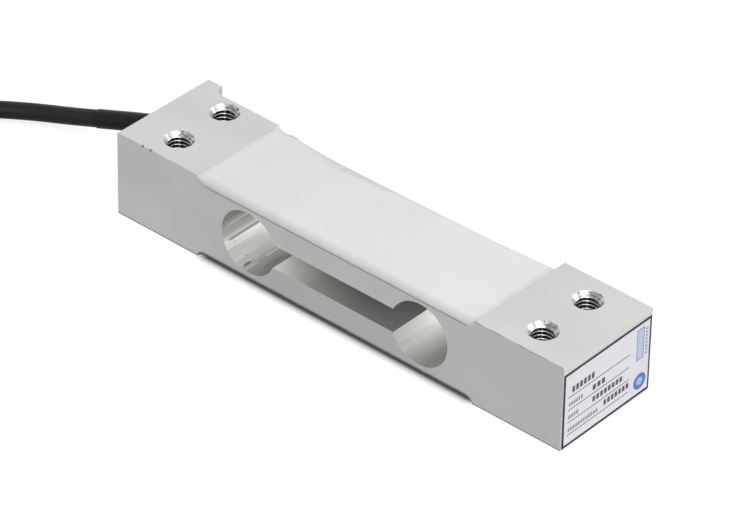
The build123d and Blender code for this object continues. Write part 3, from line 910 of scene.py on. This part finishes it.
def length_setting(name, description, millimetres):
    return FloatProperty(name=name, description=description, unit="LENGTH", default=millimetres * MM)


def level_setting(name, description, default):
    return FloatProperty(name=name, description=description, default=default, min=0.0)


class BeamSettings(bpy.types.PropertyGroup):
    metal_colour: colour_setting("Metal", "Colour of the anodised aluminium", (0.615, 0.612, 0.606))
    bored_colour: colour_setting("Bored walls", "Colour of the lobes' bright walls", (0.97, 0.96, 0.94))
    metal_roughness: share_setting("Roughness", "Roughness of the milled faces", 0.38)
    metal_share: share_setting("Metallic", "How far the anodised skin still mirrors like metal", 0.55)


class SiliconeSettings(bpy.types.PropertyGroup):
    silicone_colour: colour_setting("Silicone", "Colour of the coatings", (0.93, 0.94, 0.95))
    top_thickness: length_setting("Top thickness", "Coating over the top gauges", 1.85)
    bottom_thickness: length_setting("Bottom thickness", "Coating over the bottom gauges", 1.6)


class CableSettings(bpy.types.PropertyGroup):
    jacket_colour: colour_setting("Jacket", "Colour of the cable's jacket", (0.012, 0.012, 0.013))
    sleeve_colour: colour_setting("Sleeve", "Colour of the shrink sleeve", (0.007, 0.007, 0.0075))
    sleeve_reach: length_setting("Sleeve length", "From the beam to the sleeve's end", 26.4)


class LabelSettings(bpy.types.PropertyGroup):
    film_colour: colour_setting("Film", "Colour of the label's film", (0.80, 0.80, 0.85))
    mark_colour: colour_setting("Marks", "Colour of the box and the ring", (0.09, 0.22, 0.52))


class StageSettings(bpy.types.PropertyGroup):
    sky: level_setting("Sky", "Level of the light from all round", 0.13)
    key: level_setting("Key", "Power of the large lamp over the load end", 2.9)
    fill: level_setting("Fill", "Power of the lamp behind the camera", 11.6)
    rear: level_setting("Rear", "Power of the low lamp behind the beam", 3.5)
    glow: level_setting("Glow", "How far the floor glows where it is seen", 0.94)


# One operator for each piece or group of like pieces, and one for the stage


class LOADCELL_OT_stage(bpy.types.Operator):
    """Sets the camera, the white floor, the sky and the lamps."""

    bl_idname = "loadcell.stage"
    bl_label = "Stage"

    def execute(self, context):
        settings = context.scene.loadcell_stage
        data = bpy.data.cameras.new("camera")
        data.sensor_width = SENSOR
        data.lens = FOCAL_PIXELS * SENSOR / PHOTO_WIDTH
        data.clip_start, data.clip_end = 0.01, 20.0
        camera = placed("camera", data)
        right, down = Vector(CAMERA_RIGHT).normalized(), Vector(CAMERA_DOWN).normalized()
        axes = Matrix((right, -down, right.cross(-down))).transposed()
        camera.matrix_world = Matrix.Translation(Vector(EYE) * MM) @ axes.to_4x4()
        context.scene.camera = camera
        self.floor(settings.glow)
        self.sky(context.scene, settings.sky)
        for name, place, size in LAMPS:
            self.lamp(f"{name}_lamp", place, size, getattr(settings, name))
        context.scene.view_settings.view_transform = "Standard"
        return {"FINISHED"}

    def floor(self, glow_level):
        """A wide white floor that glows where it is seen, with a painted shadow where a piece stands close
        over it.
        """
        mesh = bpy.data.meshes.new("floor")
        corners = [(-1, -1, 0), (1, -1, 0), (1, 1, 0), (-1, 1, 0)]
        mesh.from_pydata((np.array(corners) * FLOOR_HALF).tolist(), [], [(0, 1, 2, 3)])
        finish = Finish("white_floor", FLOOR_GREY, 0.9, Specular_IOR_Level=0.0)
        seen = finish.seen_rays()
        # Painted shadow: the glow dims where a piece stands close over the floor
        near = finish.add("ShaderNodeAmbientOcclusion", {"Distance": FLOOR_SHADOW * MM}, samples=16)
        open_share = finish.ramp(near.outputs["AO"], 0.2, 0.85)
        # Beyond the recess's ends the painted shadow mostly fades
        under_pads = finish.ramp(finish.absolute(finish.axes()[0]), 38.0, 42.0, 0.0, 0.85)
        open_share = finish.choose(under_pads, open_share, 1.0)
        mirrored = finish.times(finish.glossy_rays(), MIRRORED_FLOOR)
        level = finish.times(finish.times(finish.minus(seen, mirrored), open_share), glow_level)
        finish.feed(Emission_Strength=level, Emission_Color=(1.0, 1.0, 1.0, 1.0))
        finish.feed(Base_Color=finish.mix(seen, FLOOR_GREY, FLOOR_SEEN))
        mesh.materials.append(finish.material)
        floor = placed("floor", mesh)

    def sky(self, scene, level):
        """A sky that lights the object at a level and is white where it is seen."""
        world = bpy.data.worlds.new("studio")
        scene.world = world
        world.use_nodes = True
        world.node_tree.nodes.clear()
        sky = Tree(world.node_tree)
        light = sky.add("ShaderNodeBackground", {"Strength": level})
        bright = sky.plus(sky.times(sky.glossy_rays(), MIRRORED_SKY - 1.0), 1.0)
        white = sky.add("ShaderNodeBackground", {"Strength": bright})
        inputs = {0: sky.seen_rays(), 1: light.outputs[0], 2: white.outputs[0]}
        mix = sky.add("ShaderNodeMixShader", inputs)
        sky.add("ShaderNodeOutputWorld", {"Surface": mix.outputs[0]})

    def lamp(self, name, place, size, power):
        """A square lamp that looks at the origin."""
        data = bpy.data.lights.new(name, "AREA")
        data.size = size
        data.energy = power
        lamp = placed(name, data)
        lamp.location = place
        lamp.rotation_euler = (-Vector(place)).to_track_quat("-Z", "Y").to_euler()


class LOADCELL_OT_cable(bpy.types.Operator):
    """Makes the cable as one smooth line, and the shrink sleeve on it."""

    bl_idname = "loadcell.cable"
    bl_label = "Cable"

    def execute(self, context):
        settings = context.scene.loadcell_cable
        points = cable_points()
        jacket = plastic_finish("black_jacket_finish", settings.jacket_colour, 0.42, gloss=0.16)
        sleeve_skin = plastic_finish("shrink_sleeve_finish", settings.sleeve_colour, 0.36, gloss=0.16)
        cable = smooth_line("cable", points, CABLE_RADIUS)
        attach(cable, ROOT)
        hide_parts("cable_jacket", "cable_hank")
        dress(cable, jacket)
        line = line_points(points)
        inset = CABLE_ROUTE[0][0]
        reach = settings.sleeve_reach / MM
        stretch = even_points(line, inset - SLEEVE_INSIDE, inset + reach, SLEEVE_RINGS)
        travel = np.linspace(-SLEEVE_INSIDE, reach, SLEEVE_RINGS)
        radii = CABLE_RADIUS + SLEEVE_WALL + 0.02 * waves(travel, 0 * travel, 5, 9.0)
        radii = radii - 0.1 * np.clip((travel - reach + 0.5) / 0.5, 0, 1) ** 2
        sleeve = tube_around("sleeve", stretch, radii, CABLE_RADIUS + 0.005)
        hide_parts("cable_sleeve")
        dress(sleeve, sleeve_skin)
        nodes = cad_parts
        starts = ("hank_tie", "outer_core", "core_tip")
        on_it = [sleeve]
        on_it += [nodes[name] for name in sorted(nodes) if name.startswith(starts)]
        on_it += [nodes["drain_wire"], nodes["cable_seal"]]
        return {"FINISHED"}


class LOADCELL_OT_beam(bpy.types.Operator):
    """Makes the beam with its four tapped holes."""

    bl_idname = "loadcell.beam"
    bl_label = "Beam"

    def execute(self, context):
        material = metal_finish("milled_aluminium_finish", context.scene.loadcell_beam)
        cut = thread_finish("tapped_aluminium_finish")
        dress(beam_copy(), material)
        for end, x in (("fixed", -HOLE_X), ("load", HOLE_X)):
            for side, y in (("front", -HOLE_Y), ("rear", HOLE_Y)):
                wall = tapped_wall(f"tapped_wall_{end}_{side}", x, y)
                dress(wall, cut)
        return {"FINISHED"}


class LOADCELL_OT_silicone(bpy.types.Operator):
    """Makes the silicone over the gauges and over the terminal board."""

    bl_idname = "loadcell.silicone"
    bl_label = "Silicone"

    def execute(self, context):
        settings = context.scene.loadcell_silicone
        material = silicone_finish("white_silicone_finish", settings)
        top_height, bottom_height = settings.top_thickness / MM, settings.bottom_thickness / MM
        top = silicone_slab("top_silicone", top_height, 3, TOP_REAR_SLOPE, mirrored=False)
        bottom = silicone_slab("bottom_silicone", bottom_height, 8, BOTTOM_REAR_SLOPE, mirrored=True)
        side = make_piece("side_silicone", *self.side_parts(), 45.0)
        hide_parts("top_coating")
        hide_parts("bottom_coating")
        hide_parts("side_coating")
        for piece in (top, bottom, side):
            dress(piece, material)
        return {"FINISHED"}

    def side_parts(self):
        """The pad over the terminal board and a tongue over the wires above and below it."""
        low, high = (np.array(c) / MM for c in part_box("side_coating"))
        pad_low = np.array([low[0] + 0.05, low[1], PAD_Z[0]])
        pad_high = np.array([high[0], high[1], PAD_Z[1]])
        parts = [silicone_pad(pad_low, pad_high, 12, edge=1.6, columns=90, rows=70)]
        for low_z, high_z in ((TONGUE_Z[1], high[2]), (low[2], TONGUE_Z[0])):
            tongue_low = np.array([TONGUE_X[0], low[1], low_z])
            tongue_high = np.array([TONGUE_X[1], low[1] + TONGUE_DEPTH, high_z])
            parts.append(silicone_pad(tongue_low, tongue_high, 13, edge=0.6, columns=40, rows=40))
        offsets = np.cumsum([0, *(len(points) for points, _ in parts[:-1])])
        faces = [faces + offset for (_, faces), offset in zip(parts, offsets)]
        return np.concatenate([points for points, _ in parts]), np.concatenate(faces)


class LOADCELL_OT_label(bpy.types.Operator):
    """Prints the label on the load end."""

    bl_idname = "loadcell.label"
    bl_label = "Label"

    def execute(self, context):
        material = label_finish("label_film_finish", context.scene.loadcell_label)
        dress(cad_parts["end_label"], material)
        return {"FINISHED"}


# The small parts: starts of the nodes' names, finish, its kind, colour, roughness and slot
SMALL_PARTS = [
    (("gauge_film",), "gauge_backing", plastic_finish, (0.55, 0.30, 0.07), 0.3, "gauge_backing"),
    (("gauge_grid",), "gauge_foil", bright_finish, (0.62, 0.60, 0.55), 0.3, "gauge_foil"),
    (("gauge_wires",), "enamel", plastic_finish, (0.55, 0.17, 0.06), 0.25, "enamelled_wire"),
    (("gauge_solder", "board_"), "solder", bright_finish, (0.72, 0.72, 0.73), 0.22, "solder"),
    (("terminal_board",), "board", plastic_finish, (0.03, 0.16, 0.06), 0.35, "board_laminate"),
    (("zero_trim", "span_trim"), "resistor", plastic_finish, (0.02, 0.02, 0.022), 0.25, "resistor_body"),
    (("cable_seal",), "sealant", plastic_finish, (0.03, 0.03, 0.03), 0.5, "sealant"),
    (("hank_tie",), "tie_strap", plastic_finish, (0.78, 0.78, 0.75), 0.4, "tie_strap"),
    (("core_tip", "drain_wire"), "tinned_copper", bright_finish, (0.66, 0.65, 0.62), 0.3, "tinned_copper"),
]
CORE_COLOURS = {
    "red": (0.50, 0.015, 0.012),
    "green": (0.01, 0.20, 0.05),
    "white": (0.75, 0.75, 0.72),
    "black": (0.012, 0.012, 0.012),
}


class LOADCELL_OT_small_parts(bpy.types.Operator):
    """Gives the gauges, the board, the wires and the cable's stripped end their finishes."""

    bl_idname = "loadcell.small_parts"
    bl_label = "Small parts"

    def execute(self, context):
        rows = list(SMALL_PARTS)
        for name, colour in CORE_COLOURS.items():
            slot = f"core_{name}"
            starts = (f"inner_core_{name}", f"outer_core_{name}")
            rows.append((starts, slot, plastic_finish, colour, 0.3, slot))
        for starts, finish, kind, colour, roughness, slot in rows:
            material = kind(f"{finish}_finish", colour, roughness)
            for name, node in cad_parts.items():
                if name.startswith(starts):
                    dress(node, material)
        return {"FINISHED"}


class LOADCELL_PT_panel(bpy.types.Panel):
    """Lists the operators in the 3D view's sidebar."""

    bl_idname = "LOADCELL_PT_panel"
    bl_label = "Load cell"
    bl_space_type = "VIEW_3D"
    bl_region_type = "UI"
    bl_category = "Load cell"

    def draw(self, context):
        for operator in OPERATORS:
            self.layout.operator(operator.bl_idname)


SETTINGS = {
    "loadcell_stage": StageSettings,
    "loadcell_cable": CableSettings,
    "loadcell_beam": BeamSettings,
    "loadcell_silicone": SiliconeSettings,
    "loadcell_label": LabelSettings,
}
OPERATORS = [
    LOADCELL_OT_stage,
    LOADCELL_OT_cable,
    LOADCELL_OT_beam,
    LOADCELL_OT_silicone,
    LOADCELL_OT_label,
    LOADCELL_OT_small_parts,
]


def register():
    for kind in [*SETTINGS.values(), *OPERATORS, LOADCELL_PT_panel]:
        bpy.utils.register_class(kind)
    for name, kind in SETTINGS.items():
        setattr(bpy.types.Scene, name, PointerProperty(type=kind))


def unregister():
    for name in SETTINGS:
        delattr(bpy.types.Scene, name)
    for kind in reversed([*SETTINGS.values(), *OPERATORS, LOADCELL_PT_panel]):
        bpy.utils.unregister_class(kind)


def main():
    register()
    bpy.ops.loadcell.stage()
    bpy.ops.loadcell.cable()
    bpy.ops.loadcell.beam()
    bpy.ops.loadcell.silicone()
    bpy.ops.loadcell.label()
    bpy.ops.loadcell.small_parts()


if __name__ == "__main__":
    main()
